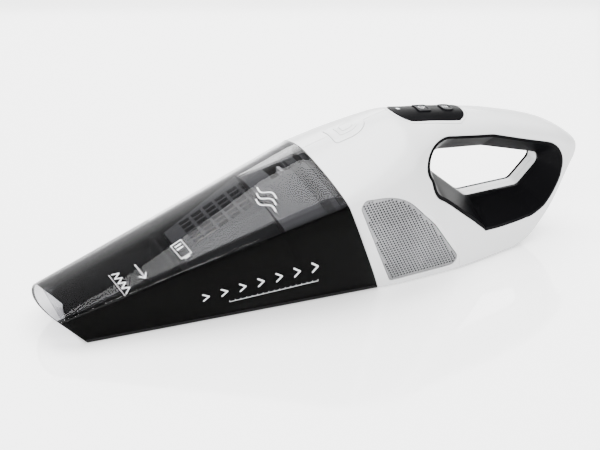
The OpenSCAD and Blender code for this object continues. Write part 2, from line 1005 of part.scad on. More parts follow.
module release_spring() {
  color([0.7, 0.7, 0.72])
    translate([release_x, 0, 89.3])
      linear_extrude(height = 16.1, twist = -1800, slices = 100)
        translate([3.9, 0])
          circle(r = 0.55, $fn = 8);
}

module housing_screws() {
  color([0.25, 0.25, 0.27])
    for (s = screws) {
      difference() {
        union() {
          along_y(-8.6, 8.2, s[0], s[1], screw_r);
          along_y(8.05, 10, s[0], s[1], 2.5);
        }
        translate([s[0] - 0.4, 9, s[1] - 1.5])
          cube([0.8, 3, 3]);
        translate([s[0] - 1.5, 9, s[1] - 0.4])
          cube([3, 3, 0.8]);
      }
    }
}

// draw the chosen sub-part
dust_cup();
inlet_duct();
cup_partition();
cup_catch();
cup_seal();
flap_pin();
inlet_flap();
filter_cage();
filter_pleats();
filter_frame();
filter_gasket();
motor_bulkhead();
housing_left();
housing_right();
grille_left();
grille_right();
exhaust_foam_left();
exhaust_foam_right();
handle_ring_left();
handle_ring_right();
control_panel();
power_button();
mode_button();
indicator_lens();
indicator_led();
control_board();
power_switch();
mode_switch();
release_button();
release_latch();
release_spring();
spring_seat();
fan_shroud();
fan_impeller();
motor_shaft();
shaft_nut();
motor_rotor();
motor_can();
motor_magnets();
motor_end_cap();
motor_bearings();
motor_mount();
battery_cells();
cell_straps();
battery_holder();
battery_board();
charge_socket();
wiring();
housing_screws();
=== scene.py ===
import json
import math

import bmesh
import bpy
import numpy as np
from mathutils import Matrix, Vector


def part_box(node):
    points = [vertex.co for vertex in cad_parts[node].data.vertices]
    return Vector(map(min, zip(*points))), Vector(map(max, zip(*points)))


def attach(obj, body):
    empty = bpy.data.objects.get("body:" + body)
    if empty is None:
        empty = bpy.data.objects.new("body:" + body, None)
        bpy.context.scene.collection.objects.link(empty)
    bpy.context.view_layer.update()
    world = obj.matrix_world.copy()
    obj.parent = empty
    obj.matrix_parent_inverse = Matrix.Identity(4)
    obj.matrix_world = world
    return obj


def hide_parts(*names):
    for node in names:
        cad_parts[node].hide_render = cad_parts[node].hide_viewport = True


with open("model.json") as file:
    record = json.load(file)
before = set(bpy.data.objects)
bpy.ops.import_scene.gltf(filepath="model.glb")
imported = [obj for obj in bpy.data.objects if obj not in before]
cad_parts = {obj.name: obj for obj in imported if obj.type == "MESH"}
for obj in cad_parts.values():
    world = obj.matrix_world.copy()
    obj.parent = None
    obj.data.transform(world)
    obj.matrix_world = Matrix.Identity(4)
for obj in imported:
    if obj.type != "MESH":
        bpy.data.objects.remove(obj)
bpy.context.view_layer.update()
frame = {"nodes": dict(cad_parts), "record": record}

# ---------------------------------------------------------------- sizes, in millimetres
MM = 0.001
X_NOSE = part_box("dust_cup")[0].x / MM
X_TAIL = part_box("housing_left")[1].x / MM

# body
X_SEAM = 28.0
SEAM_LEAN = 0.422
SEAM_GAP = 0.4
SEAM_TOP = 100.5
WALL = 2.4
PARTING = 0.18  # half the gap between the two housing halves
SMALLEST_CORNER = 0.4
SIDE_BOW = 0.1  # how far the sides bulge between two corners, as a share of their height
SHOULDER_BOW = 0.12
ROWS_PER_SECTION = 6
TOP_SKIN_ROWS = 46  # rows of the skin from the seam to behind the panel
PANEL_ROWS = slice(4, 40)
LAST_SECTION_INSET = 1.5  # the last section is too small to be moved in further

# sections: x at z=0, lean, bottom z, bottom half width, corner radius, side half width, side z,
# shoulder half width, shoulder z, top z, roundness of the top and, for the cup, bow of the lip
BODY_ROWS = [
    (X_SEAM, SEAM_LEAN, 0, 40, 4, 57, 66, 57.3, 78, SEAM_TOP, 1.5),
    (37, 0.2, 0, 41.2, 5, 56, 70, 55.2, 81, 109.2, 1.6),
    (51, 0, 0, 41.3, 5, 52, 66, 46, 89, 118.6, 1.5),
    (65, 0, 0, 40.6, 5, 49.5, 57, 34, 96.5, 117.2, 1.5),
    (81, 0, 0, 39.5, 5, 43, 52, 25.5, 99, 115, 1.75),
    (97, 0, 0, 37, 5, 38.5, 45, 21.5, 97.5, 112.7, 2),
    (112, 0, 0, 34, 5, 34.5, 37, 20.5, 95.5, 110.4, 2.1),
    (127, 0, 0, 30.5, 5, 30.8, 33, 20.3, 92.5, 107, 2.6),
    (143, 0, 0, 26.5, 5, 26.8, 31, 20, 88, 102.8, 3),
    (159, 0, 3, 23.3, 5, 23.6, 33, 19.6, 84, 98.5, 3),
    (173, 0, 14, 20.5, 5, 20.8, 40, 19, 80, 94, 3),
    (185, 0, 29, 18.2, 5, 18.8, 50, 17.8, 75.5, 89, 3),
    (194, 0, 44, 15.8, 5, 16.6, 58, 16, 70.5, 84, 2.8),
    (201, 0, 54.5, 13, 4, 13.8, 62.5, 13.4, 67.5, 79, 2.5),
    (206.5, 0, 60.5, 9.4, 2.5, 10.2, 65.2, 10, 67.4, 74.5, 2.3),
    (X_TAIL - 0.8, 0, 63.9, 5.4, 1.2, 5.9, 66.6, 5.8, 67.4, 71.4, 2),
    (X_TAIL, 0, 65.6, 2.4, 0.6, 2.7, 66.9, 2.6, 67.4, 69.6, 2),
]
SHOULDER_Z = 8  # place of the shoulder z in a section

# dust cup
LIP_LEAN = 0.937
LIP_BOW = 0.0047
NOSE_TOP = 25.0
NOSE_HALF = 31.0
X_LIP = X_NOSE + LIP_LEAN * NOSE_TOP
CUP_WALL = 2.0
CUP_LOWER = 0.2  # how far the cup's top lies below the body's at the seam
LIP_BAND = 1.2  # width of the dark edge round the mouth
CUP_SECTIONS = 28
CUP_ROWS = [
    (X_LIP, LIP_LEAN, 0, NOSE_HALF - 1.5, 2.5, NOSE_HALF, 17.5, NOSE_HALF - 0.2, 20, NOSE_TOP, 1.7, LIP_BOW),
    (X_SEAM - SEAM_GAP, SEAM_LEAN, 0, 40, 4, 57, 66, 57.3, 78, SEAM_TOP - CUP_LOWER, 1.5, 0),
]

# finger opening: circles whose outer tangents draw it, as x, z, radius, spread of the flare at start and end
LOOP = [
    (117, 50, 7, 0.3, 0.55),
    (156, 51, 7, 1.12, 1.6),
    (168.5, 63, 6.5, 1.68, 0.82),
    (123, 73.5, 8.8, 0.88, 0.87),
    (89, 78.2, 7.2, 0.92, 0.5),
    (86.8, 74, 5.6, 0.36, 0.24),
]
FLARE_START = 8.0  # distances from the middle plane
FLARE_END = 57.0
FLARE_ROWS = 15
SPREAD_REACH = 6  # points to each side over which the spread is evened out
RING_THICK = 2.2
RING_GAP = 0.15
RING_PROUD = 0.25
LINING_HALF = 5.5  # half width of the white strip between the two linings
STRIP_WALL = 4.6

# exhaust grille: circles as above, in the plane of the side facet
GRILLE = [
    (9.1, -4.9, 4, 0, 0), (57.6, -3.9, 5.2, 0, 0), (-7.3, -7.9, 60, 0, 0), (-13.6, 20, 45, 0, 0),
    (-20.7, 60.9, 4.5, 0, 0),
]
GRILLE_PITCH = 2.45
GRILLE_HOLE = 0.8
GRILLE_THICK = 0.8
GRILLE_MARGIN = 1.5  # nearest that a hole's middle comes to the edge
GRILLE_DEPTH = 0.55
GRILLE_GROW = -0.05
HOLE_SIDES = 12
SEAT_GROW, SEAT_DEPTH = 0.45, 1.9
WINDOW_GROW, WINDOW_DEPTH = -2.6, 12
POCKET_OUT = -20
FACET_ORIGIN = (29.0, -44.0, 15.0)
FACET_TURN = 4.86
FACET_TILT = 9.7
FACET_EDGE = [
    (-35, -20), (-35, 81.5), (-7, 81.4), (11, 81), (22, 80.6), (31, 78.6), (42, 72.5),
    (60.4, 57.5), (76.4, 40), (89.7, 20.8), (94.5, 7), (95, -20),
]

# control panel and its keys; their boxes say x from, x to, half width, corner radius
PANEL_ORIGIN = (50.0, 0.0, 118.6)
PANEL_TILT = 8.4
PANEL_SPAN = (-14, 10)  # heights over the panel's plane
PANEL_PROUD = 0.6
PANEL_THICK = 1.2
PANEL_GAP = 0.35
PANEL_SEAT = 1.3
PANEL_EDGE = 2.2  # width of the edge that the panel rests on
GROOVE_NEAR, GROOVE_FAR, GROOVE_DEPTH = 2.05, 2.5, 0.5
KEY_SPAN = (-5, 10)
KEY_PROUD = 1.5
KEY_DISH = 1.1
LENS_HOLE = (7.85, 11.15, 1.65, 1.64)
KEYS = {
    "power_key": {
        "node": "power_button", "hole": (23.1, 34.2, 6.5, 1.9), "cap": (23.4, 33.9, 6.2, 1.6),
        "dish": (25.0, 32.3, 4.6, 1.2), "sign_x": 28.65,
    },
    "mode_key": {
        "node": "mode_button", "hole": (43.5, 53.3, 6.3, 3.5), "cap": (43.8, 53, 6, 3.2),
        "dish": (45.4, 51.4, 4.4, 2.6), "sign_x": 48.4,
    },
}

# release button: x from, x to, half width, front corner radius; its two steps also say how proud they are
RELEASE = (6, 32, 12.2, 3)
RELEASE_SPAN = (92, 125)
RELEASE_GAP = 0.35
RELEASE_PROUD = 0.5
RELEASE_THICK = 2.0
RELEASE_STEPS = (((11.5, 26.5, 7, 2), 1.1), ((14.5, 23.5, 4, 1.5), 1.6))
STEP_ROOT = 1.0

# charging socket and screws
SOCKET_AT = (172.5, 0, 13.5)
SOCKET_TURN = 135
SOCKET_RADIUS = 4.35
SOCKET_SPAN = (-16, 24)
SCREWS = ((59, 9), (45, 97), (136, 97.4), (191, 63))
SCREW_RADIUS = 2.8
SCREW_BORE_Y = (8, 80)

# how far cutting blocks reach past the body
FAR_X = (-60, 260)
FAR_Y = 90
FAR_Z = (-20, 140)


# ---------------------------------------------------------------- curves and sections
def densify(table, per):
    """Rows of a table with smooth, overshoot-free rows between them."""
    rows = np.array(table, float)
    steps = np.diff(rows, axis=0)
    slopes = np.zeros_like(rows)
    slopes[0], slopes[-1] = steps[0], steps[-1]
    same = steps[:-1] * steps[1:] > 0
    both = np.where(same, steps[:-1] + steps[1:], 1)
    slopes[1:-1] = np.where(same, 2 * steps[:-1] * steps[1:] / both, 0)
    out = []
    for i in range(len(rows) - 1):
        for k in range(per):
            t = k / per
            out.append(
                rows[i] * (2 * t**3 - 3 * t**2 + 1) + slopes[i] * (t**3 - 2 * t**2 + t)
                + rows[i + 1] * (-2 * t**3 + 3 * t**2) + slopes[i + 1] * (t**3 - t**2)
            )
    out.append(rows[-1])
    return out


def resample(points, n):
    """n points at equal steps along a line of points, without its first point."""
    p = np.array(points, float)
    s = np.concatenate([[0], np.cumsum(np.linalg.norm(np.diff(p, axis=0), axis=1))])
    return [tuple(np.interp(s[-1] * k / n, s, p[:, c]) for c in range(p.shape[1])) for k in range(1, n + 1)]


def half_outline(row, inset):
    """Half of a section as (y, z), from the bottom middle round to the top middle, moved in by inset."""
    bottom, base, corner, side, side_z, shoulder, shoulder_z, top, roundness = row[2:11]
    bottom, top = bottom + inset, top - inset
    base, side, shoulder = base - inset, side - inset, shoulder - inset
    corner = max(corner - inset, SMALLEST_CORNER)
    out = [(0, bottom)] + [((base - corner) * k / 5, bottom) for k in range(1, 5)]
    out += [
        (base - corner + corner * math.sin(a), bottom + corner - corner * math.cos(a))
        for a in [math.radians(90 * k / 7) for k in range(8)]
    ]
    rise = side_z - bottom - corner
    out += [
        (base + (side - base) * k + SIDE_BOW * k * (1 - k) * rise, bottom + corner + rise * k)
        for k in np.linspace(0, 1, 13)[1:]
    ]
    rise = shoulder_z - side_z
    out += [
        (side + (shoulder - side) * k + SHOULDER_BOW * k * (1 - k) * rise, side_z + rise * k)
        for k in (0.25, 0.5, 0.75)
    ]
    power = 2 / roundness
    dome = [
        (shoulder * math.cos(a) ** power, shoulder_z + (top - shoulder_z) * math.sin(a) ** power)
        for a in np.linspace(0, math.pi / 2 - 1e-6, 240)
    ]
    dome[-1] = (0, top)
    return out + [dome[0]] + resample(dome, 30)


def section(row, inset):
    """A whole section as (x, y, z), leaning and bowed."""
    bow = row[11] if len(row) > 11 else 0
    half = [(row[0] - row[1] * z + bow * y * y, -y, z) for y, z in half_outline(row, inset)]
    return half + [(x, -y, z) for x, y, z in half[-2:0:-1]]


def body_sections(inset, last=None):
    rows = BODY_ROWS if inset <= LAST_SECTION_INSET else BODY_ROWS[:-1]
    return [section(r, inset) for r in densify(rows, ROWS_PER_SECTION)[:last]]


def cup_sections(inset, n):
    front, rear = [np.array(section(row, inset)) for row in CUP_ROWS]
    return [front + (rear - front) * k for k in np.linspace(0, 1, n)]


def tangent_angle(a, b):
    """Angle of the normal of the outer tangent of two circles."""
    dx, dz = b[0] - a[0], b[1] - a[1]
    return math.atan2(dz, dx) - math.pi / 2 + math.asin((a[2] - b[2]) / math.hypot(dx, dz))


def chain(circles, grow=0.0, steps=12, more=8):
    """Points round circles and their tangents: x, z, normal angle, spread."""
    arcs = []
    n = len(circles)
    for i, (x, z, r, first_spread, last_spread) in enumerate(circles):
        start = tangent_angle(circles[i - 1], circles[i])
        end = tangent_angle(circles[i], circles[(i + 1) % n])
        while end < start:
            end += 2 * math.pi
        while end >= start + 2 * math.pi:
            end -= 2 * math.pi
        points = []
        for step in range(steps + 1):
            angle = start + (end - start) * step / steps
            spread = first_spread + (last_spread - first_spread) * (step / steps) ** 2
            points.append((x + (r + grow) * math.cos(angle), z + (r + grow) * math.sin(angle), angle, spread))
        arcs.append(points)
    out = []
    for i, points in enumerate(arcs):
        out += points
        last, following = points[-1], arcs[(i + 1) % n][0]
        for k in range(1, more + 1):
            f = k / (more + 1)
            out.append((
                last[0] + (following[0] - last[0]) * f, last[1] + (following[1] - last[1]) * f,
                last[2], last[3] + (following[3] - last[3]) * f,
            ))
    return out


def flare_row(grow, y, side):
    """The finger opening's outline at a distance from the middle plane, with its spread evened out."""
    points = chain(LOOP, grow)
    spread = np.array([(s * math.cos(a), s * math.sin(a)) for x, z, a, s in points])
    weights = np.exp(-np.linspace(-2, 2, 2 * SPREAD_REACH + 1) ** 2 / 2)
    weights /= weights.sum()
    shifts = range(-SPREAD_REACH, SPREAD_REACH + 1)
    even = sum(w * np.roll(spread, shift, axis=0) for w, shift in zip(weights, shifts))
    out = y - FLARE_START
    return [(p[0] + d[0] * out, side * y, p[1] + d[1] * out) for p, d in zip(points, even)]


def smooth_line(points, per):
    """Catmull-Rom line through points, straight at its two ends."""
    p = [np.array(q, float) for q in points]
    out = []
    for i in range(len(p) - 1):
        a, b, c, d = p[max(i - 1, 0)], p[i], p[i + 1], p[min(i + 2, len(p) - 1)]
        for k in range(per):
            t = k / per
            square, cube = (2 * a - 5 * b + 4 * c - d) * t**2, (3 * b - a - 3 * c + d) * t**3
            out.append(0.5 * (2 * b + (c - a) * t + square + cube))
    return out + [p[-1]]


def disc(x, y, radius, steps):
    angles = np.linspace(0, 2 * math.pi, steps + 1)[:-1]
    return [(x + radius * math.cos(a), y + radius * math.sin(a)) for a in angles]


FACET = (
    Matrix.Translation(FACET_ORIGIN) @ Matrix.Rotation(math.radians(FACET_TURN), 4, "Z")
    @ Matrix.Rotation(math.radians(FACET_TILT), 4, "X")
)
PANEL = Matrix.Translation(PANEL_ORIGIN) @ Matrix.Rotation(math.radians(PANEL_TILT), 4, "Y")


def facet_y(x, z):
    """Y of the left side facet above a point of the middle plane."""
    n = FACET.to_3x3() @ Vector((0, 1, 0))
    o = Vector(FACET_ORIGIN)
    return o.y - (n.x * (x - o.x) + n.z * (z - o.z)) / n.y


# ---------------------------------------------------------------- meshes
def new_object(name, verts, faces):
    mesh = bpy.data.meshes.new(name)
    mesh.from_pydata([tuple(c * MM for c in v) for v in verts], [], faces)
    obj = bpy.data.objects.new(name, mesh)
    bpy.context.scene.collection.objects.link(obj)
    edit(obj, lambda bm: bmesh.ops.recalc_face_normals(bm, faces=bm.faces))
    return obj


def edit(obj, work):
    bm = bmesh.new()
    bm.from_mesh(obj.data)
    work(bm)
    bm.to_mesh(obj.data)
    bm.free()
    obj.data.update()
    return obj


def loft(name, rows, ring=False):
    """A closed solid through rows of points, capped at both ends, or joined into a ring."""
    n, m = len(rows[0]), len(rows)
    faces = [
        (i * n + j, i * n + (j + 1) % n, (i + 1) % m * n + (j + 1) % n, (i + 1) % m * n + j)
        for i in range(m if ring else m - 1) for j in range(n)
    ]
    if not ring:
        faces += [tuple(range(n)), tuple((m - 1) * n + j for j in range(n))]
    return new_object(name, [p for r in rows for p in r], faces)


def prism(name, outline, low, high, matrix=None):
    """Outline of (a, b) points drawn out along the third axis of a matrix: low to high."""
    matrix = matrix or Matrix.Identity(4)
    rows = [[tuple(matrix @ Vector((a, b, c))) for a, b in outline] for c in (low, high)]
    return loft(name, rows)


def facet_prism(name, outline, low, high):
    """Outline in the plane of the side facet, drawn out along its normal."""
    rows = [[tuple(FACET @ Vector((a, c, b))) for a, b in outline] for c in (low, high)]
    return loft(name, rows)


def slab(name, y_from, y_to):
    """A block as long and high as the tool and more, between two planes of constant y."""
    (x0, x1), (z0, z1) = FAR_X, FAR_Z
    return prism(name, [(x0, y_from), (x1, y_from), (x1, y_to), (x0, y_to)], z0, z1)


def new_copy(obj, name):
    copy = bpy.data.objects.new(name, obj.data.copy())
    bpy.context.scene.collection.objects.link(copy)
    return copy


def mirrored(obj, name):
    copy = new_copy(obj, name)
    copy.data.transform(Matrix.Scale(-1, 4, (0, 1, 0)))
    return edit(copy, lambda bm: bmesh.ops.recalc_face_normals(bm, faces=bm.faces))


def both_sides(obj):
    return [mirrored(obj, obj.name + "_right"), obj]


def apply_modifiers(obj):
    graph = bpy.context.evaluated_depsgraph_get()
    mesh = bpy.data.meshes.new_from_object(obj.evaluated_get(graph))
    obj.modifiers.clear()
    old, obj.data = obj.data, mesh
    bpy.data.meshes.remove(old)
    mesh.name = obj.name
    return obj


def combine(obj, operation, *others):
    for other in others:
        m = obj.modifiers.new("cut", "BOOLEAN")
        m.operation, m.solver, m.object = operation, "EXACT", other
    apply_modifiers(obj)
    for other in others:
        bpy.data.objects.remove(other)
    return obj


def cut(obj, *others):
    return combine(obj, "DIFFERENCE", *others)


def overlap(obj, *others):
    return combine(obj, "INTERSECT", *others)


def smooth(obj, angle=32.0, weld=0.00001):
    def work(bm):
        bmesh.ops.remove_doubles(bm, verts=bm.verts, dist=weld)
        for f in bm.faces:
            f.smooth = True
        for e in bm.edges:
            if len(e.link_faces) == 2:
                e.smooth = e.calc_face_angle(0.0) < math.radians(angle)
    return edit(obj, work)


def bevel(obj, width, segments=2, angle=35.0):
    m = obj.modifiers.new("edge", "BEVEL")
    m.width, m.segments, m.limit_method, m.angle_limit = width * MM, segments, "ANGLE", math.radians(angle)
    m.use_clamp_overlap = True
    return apply_modifiers(obj)


def place(obj, body, slot, material, *replaced):
    obj.data.materials.clear()
    obj.data.materials.append(material)
    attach(obj, body)
    if replaced:
        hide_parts(*replaced)
    return obj


# ---------------------------------------------------------------- materials
def new_material(name):
    mat = bpy.data.materials.new(name)
    mat.use_nodes = True
    nodes, links = mat.node_tree.nodes, mat.node_tree.links
    return mat, nodes, links, nodes["Principled BSDF"]


def textured(name, color, rough, metallic=0.0, vary=0.03, scale=60.0, bump=0.02, bump_scale=900.0, **sockets):
    """A Principled material with fine colour and roughness variation and a fine bump."""
    mat, nodes, links, shader = new_material(name)
    coords = nodes.new("ShaderNodeTexCoord")
    patches = nodes.new("ShaderNodeTexNoise")
    patches.inputs["Scale"].default_value = scale
    patches.inputs["Detail"].default_value = 4
    links.new(coords.outputs["Object"], patches.inputs["Vector"])
    ramp = nodes.new("ShaderNodeMix")
    ramp.data_type = "RGBA"
    ramp.inputs["A"].default_value = (*[c * (1 - vary) for c in color], 1)
    ramp.inputs["B"].default_value = (*[min(c * (1 + vary), 1) for c in color], 1)
    links.new(patches.outputs["Fac"], ramp.inputs["Factor"])
    links.new(ramp.outputs["Result"], shader.inputs["Base Color"])
    spread = nodes.new("ShaderNodeMapRange")
    spread.inputs["To Min"].default_value = rough * 0.9
    spread.inputs["To Max"].default_value = rough * 1.1
    links.new(patches.outputs["Fac"], spread.inputs["Value"])
    links.new(spread.outputs["Result"], shader.inputs["Roughness"])
    grain = nodes.new("ShaderNodeTexNoise")
    grain.inputs["Scale"].default_value = bump_scale
    links.new(coords.outputs["Object"], grain.inputs["Vector"])
    relief = nodes.new("ShaderNodeBump")
    relief.inputs["Strength"].default_value = bump
    relief.inputs["Distance"].default_value = 0.0002
    links.new(grain.outputs["Fac"], relief.inputs["Height"])
    links.new(relief.outputs["Normal"], shader.inputs["Normal"])
    shader.inputs["Metallic"].default_value = metallic
    for socket, value in sockets.items():
        shader.inputs[socket.replace("_", " ")].default_value = value
    return mat


WHITE = textured("white_gloss", (0.66, 0.664, 0.67), 0.24, vary=0.006, scale=14, bump=0.01, bump_scale=260)
BLACK = textured(
    "black_gloss", (0.002, 0.002, 0.0024), 0.34, vary=0.2, scale=30, bump=0.01, bump_scale=260, IOR=1.09,
)
SILVER = textured("silver_metal", (0.17, 0.171, 0.176), 0.36, metallic=1.0, vary=0.75, scale=24, bump=0.04)
KEY = textured("key_black", (0.004, 0.004, 0.005), 0.34, vary=0.15, scale=80, bump=0.03, IOR=1.14)
MARK = textured("mark_grey", (0.62, 0.63, 0.64), 0.4, vary=0.02)
TINT_END = -90  # x where the nose's own tint has faded out
POLISH_HEAD_ON = 0.008  # share of the polish that shows where the surface faces the view
POLISH_POWER = 4.5


def smoked(name, clear_color, gloss_rough=0.03, edge=0.8, front_color=None):
    """Thin see-through plastic, tinted, more so at the nose where front_color says, with a clear polish."""
    mat = bpy.data.materials.new(name)
    mat.use_nodes = True
    nodes, links = mat.node_tree.nodes, mat.node_tree.links
    nodes.remove(nodes["Principled BSDF"])
    output = nodes["Material Output"]
    coords = nodes.new("ShaderNodeTexCoord")
    split = nodes.new("ShaderNodeSeparateXYZ")
    links.new(coords.outputs["Object"], split.inputs["Vector"])
    streak = nodes.new("ShaderNodeTexNoise")
    streak.inputs["Scale"].default_value = 9
    links.new(coords.outputs["Object"], streak.inputs["Vector"])
    tint = nodes.new("ShaderNodeMix")
    tint.data_type = "RGBA"
    tint.inputs["A"].default_value = (*[c * 0.94 for c in clear_color], 1)
    tint.inputs["B"].default_value = (*clear_color, 1)
    links.new(streak.outputs["Fac"], tint.inputs["Factor"])
    length = nodes.new("ShaderNodeMapRange")
    length.inputs["From Min"].default_value = X_NOSE * MM
    length.inputs["From Max"].default_value = TINT_END * MM
    links.new(split.outputs["X"], length.inputs["Value"])
    deepen = nodes.new("ShaderNodeMix")
    deepen.data_type = "RGBA"
    deepen.inputs["A"].default_value = (*(front_color or clear_color), 1)
    links.new(length.outputs["Result"], deepen.inputs["Factor"])
    links.new(tint.outputs["Result"], deepen.inputs["B"])
    through = nodes.new("ShaderNodeBsdfTransparent")
    links.new(deepen.outputs["Result"], through.inputs["Color"])
    gloss = nodes.new("ShaderNodeBsdfGlossy")
    gloss.inputs["Roughness"].default_value = gloss_rough
    gloss.inputs["Color"].default_value = (1, 1, 1, 1)
    facing = nodes.new("ShaderNodeLayerWeight")
    facing.inputs["Blend"].default_value = 0.5
    grazing = nodes.new("ShaderNodeMath")
    grazing.operation = "POWER"
    grazing.inputs[1].default_value = POLISH_POWER
    links.new(facing.outputs["Facing"], grazing.inputs[0])
    polish = nodes.new("ShaderNodeMapRange")
    polish.inputs["To Min"].default_value = edge * POLISH_HEAD_ON
    polish.inputs["To Max"].default_value = edge
    links.new(grazing.outputs["Value"], polish.inputs["Value"])
    mix = nodes.new("ShaderNodeMixShader")
    links.new(polish.outputs["Result"], mix.inputs["Fac"])
    links.new(through.outputs["BSDF"], mix.inputs[1])
    links.new(gloss.outputs["BSDF"], mix.inputs[2])
    links.new(mix.outputs["Shader"], output.inputs["Surface"])
    return mat


SMOKE = smoked("smoked_clear", (0.74, 0.74, 0.75), front_color=(0.66, 0.66, 0.67))
# Painted shade: this darker tint on the cup's lower side, below its crease, stands in for shade there; it
# also colours the dark edge round the mouth.
SMOKE_SHADE_AND_LIP = smoked("smoked_painted_shade_and_lip", (0.06, 0.06, 0.062), edge=0.3)

# looks of the CAD nodes, by material slot
SLOT_LOOKS = {
    "smoked_clear": dict(color=(0.10, 0.10, 0.105), rough=0.2),
    "white_gloss": dict(color=(0.82, 0.825, 0.83), rough=0.2),
    "black_gloss": dict(color=(0.006, 0.006, 0.007), rough=0.16),
    "black_plastic": dict(color=(0.02, 0.02, 0.022), rough=0.45, bump=0.02),
    "dark_grey_plastic": dict(color=(0.035, 0.035, 0.038), rough=0.42, bump=0.02),
    "white_plastic": dict(color=(0.5, 0.5, 0.5), rough=0.4, bump=0.01, bump_scale=200),
    "black_rubber": dict(color=(0.015, 0.015, 0.016), rough=0.7, bump=0.2),
    "black_foam": dict(color=(0.02, 0.02, 0.022), rough=0.95, bump=0.9, bump_scale=500),
    "filter_paper": dict(color=(0.72, 0.7, 0.64), rough=0.9, bump=0.3, bump_scale=700),
    "silver_metal": dict(color=(0.52, 0.525, 0.54), rough=0.34, metallic=1.0),
    "steel": dict(color=(0.6, 0.6, 0.62), rough=0.25, metallic=1.0),
    "bronze": dict(color=(0.5, 0.34, 0.16), rough=0.3, metallic=1.0),
    "copper_rotor": dict(color=(0.5, 0.22, 0.1), rough=0.35, metallic=1.0, bump=0.5, bump_scale=300),
    "magnet_dark": dict(color=(0.05, 0.05, 0.055), rough=0.4, metallic=0.6),
    "nickel": dict(color=(0.66, 0.65, 0.62), rough=0.25, metallic=1.0),
    "cell_wrap": dict(color=(0.05, 0.24, 0.14), rough=0.3),
    "board_green": dict(color=(0.02, 0.12, 0.05), rough=0.35, vary=0.2, scale=400),
    "lens_clear": dict(color=(0.6, 0.63, 0.66), rough=0.2),
    "led_white": dict(color=(0.8, 0.8, 0.75), rough=0.3),
    "wire_red": dict(color=(0.35, 0.03, 0.03), rough=0.45),
    "screw_black": dict(color=(0.06, 0.06, 0.065), rough=0.3, metallic=1.0),
}
slot_of = {s["node"]: s["material_slot"] for s in frame["record"]["subparts"]}
slot_material = {name: textured("cad_" + name, **look) for name, look in SLOT_LOOKS.items()}
for name, obj in frame["nodes"].items():
    obj.data.materials.clear()
    obj.data.materials.append(slot_material[slot_of[name]])
SMOKE_INNER = smoked("smoked_inner", (0.84, 0.84, 0.85), 0.1)
for name in ("inlet_duct", "cup_partition"):
    frame["nodes"][name].data.materials[0] = SMOKE_INNER


# ---------------------------------------------------------------- white housing
def skin(name, inset):
    return loft(name, body_sections(inset))


def top_skin(name, inset):
    """The front stretch of the skin, under the panel and the buttons."""
    return loft(name, body_sections(inset, TOP_SKIN_ROWS))


def inner_skin():
    """The inside of the wall, drawn on past the seam so that the housing is open there."""
    rows = body_sections(WALL)
    front = [tuple(2 * a - b for a, b in zip(p, q)) for p, q in zip(rows[0], rows[2])]
    return loft("inner", [front] + rows[1:])


def flare_solid(name, grow, near_grow, near=FLARE_START):
    """Space of the finger opening, flared to both sides, and near_grow wide between y = -near and near."""
    rows = []
    for side in (-1, 1):
        block = [flare_row(grow, y, side) for y in np.linspace(FLARE_END, FLARE_START, FLARE_ROWS)]
        if near < FLARE_START:
            block.append([(x, side * near, z) for x, z, a, s in chain(LOOP, grow)])
        if near_grow != grow:
            block.append([(x, side * near, z) for x, z, a, s in chain(LOOP, near_grow)])
        rows += block if side < 0 else block[::-1]
    return loft(name, rows)


def facet_cutter():
    """What the left side facet takes off the domed skin."""
    edge = smooth_line(FACET_EDGE[2:-1], 8)
    outline = FACET_EDGE[:2] + [tuple(p) for p in edge] + [FACET_EDGE[-1]]
    rows = [[(x, -FAR_Y, z) for x, z in outline], [(x, facet_y(x, z), z) for x, z in outline]]
    return loft("facet", rows)


def grille_pocket(grow, depth):
    outline = [(x, z) for x, z, a, s in chain(GRILLE, grow, 8, 2)]
    return facet_prism("pocket", outline, POCKET_OUT, depth)


def panel_outline(d):
    """Outline of the control panel on its plane, grown by d."""
    half = [
        (3 - d, 0), (3 - d, 2), (4.2 - d, 5.4 + d / 2), (6.2 - d * 0.8, 9 + d * 0.6),
        (9 - d * 0.5, 12 + d * 0.9), (12.5, 13.9 + d), (17, 14.6 + d), (50, 14.6 + d),
        (54.8, 13.4 + d), (58.2 + d * 0.8, 10.4 + d * 0.6), (59.6 + d, 6), (59.9 + d, 0),
    ]
    line = smooth_line(half, 5)
    return [tuple(p) for p in line] + [(x, -y) for x, y in line[-2:0:-1]]


def panel_prism(name, outline, span=PANEL_SPAN):
    return prism(name, outline, *span, PANEL)


def panel_groove(far, near):
    """Narrow groove round the panel, between two distances from it."""
    low, high = PANEL_SPAN
    outer, inner = panel_outline(far), panel_outline(near)
    rows = [
        [tuple(PANEL @ Vector((a, b, c))) for a, b in outline]
        for outline, c in ((outer, low), (outer, high), (inner, high), (inner, low))
    ]
    return loft("groove", rows, ring=True)


def box_outline(x0, x1, y, r, n=8):
    """Box with rounded corners, half width y."""
    out = []
    corners = ((x1 - r, y - r, 0), (x0 + r, y - r, 90), (x0 + r, -y + r, 180), (x1 - r, -y + r, 270))
    for cx, cy, a0 in corners:
        angles = [math.radians(a0 + 90 * k / n) for k in range(n + 1)]
        out += [(cx + r * math.cos(a), cy + r * math.sin(a)) for a in angles]
    return out


def release_outline(x0, x1, y, r, grow=0):
    """Square in front with rounded corners, half an ellipse at the rear."""
    xm = x0 + (x1 - x0) * 0.42
    low_arc = [
        (x0 + r + (r + grow) * math.cos(a), -y + r + (r + grow) * math.sin(a))
        for a in [math.radians(180 + 15 * k) for k in range(7)]
    ]
    rear = [
        (xm + (x1 - xm + grow) * math.cos(a), (y + grow) * math.sin(a))
        for a in [math.radians(-90 + 6 * k) for k in range(31)]
    ]
    return low_arc + rear + [(x, -y2) for x, y2 in low_arc[::-1]]


def socket_bore():
    matrix = Matrix.Translation(SOCKET_AT) @ Matrix.Rotation(math.radians(SOCKET_TURN), 4, "Y")
    return prism("socket_bore", disc(0, 0, SOCKET_RADIUS, 48), *SOCKET_SPAN, matrix)


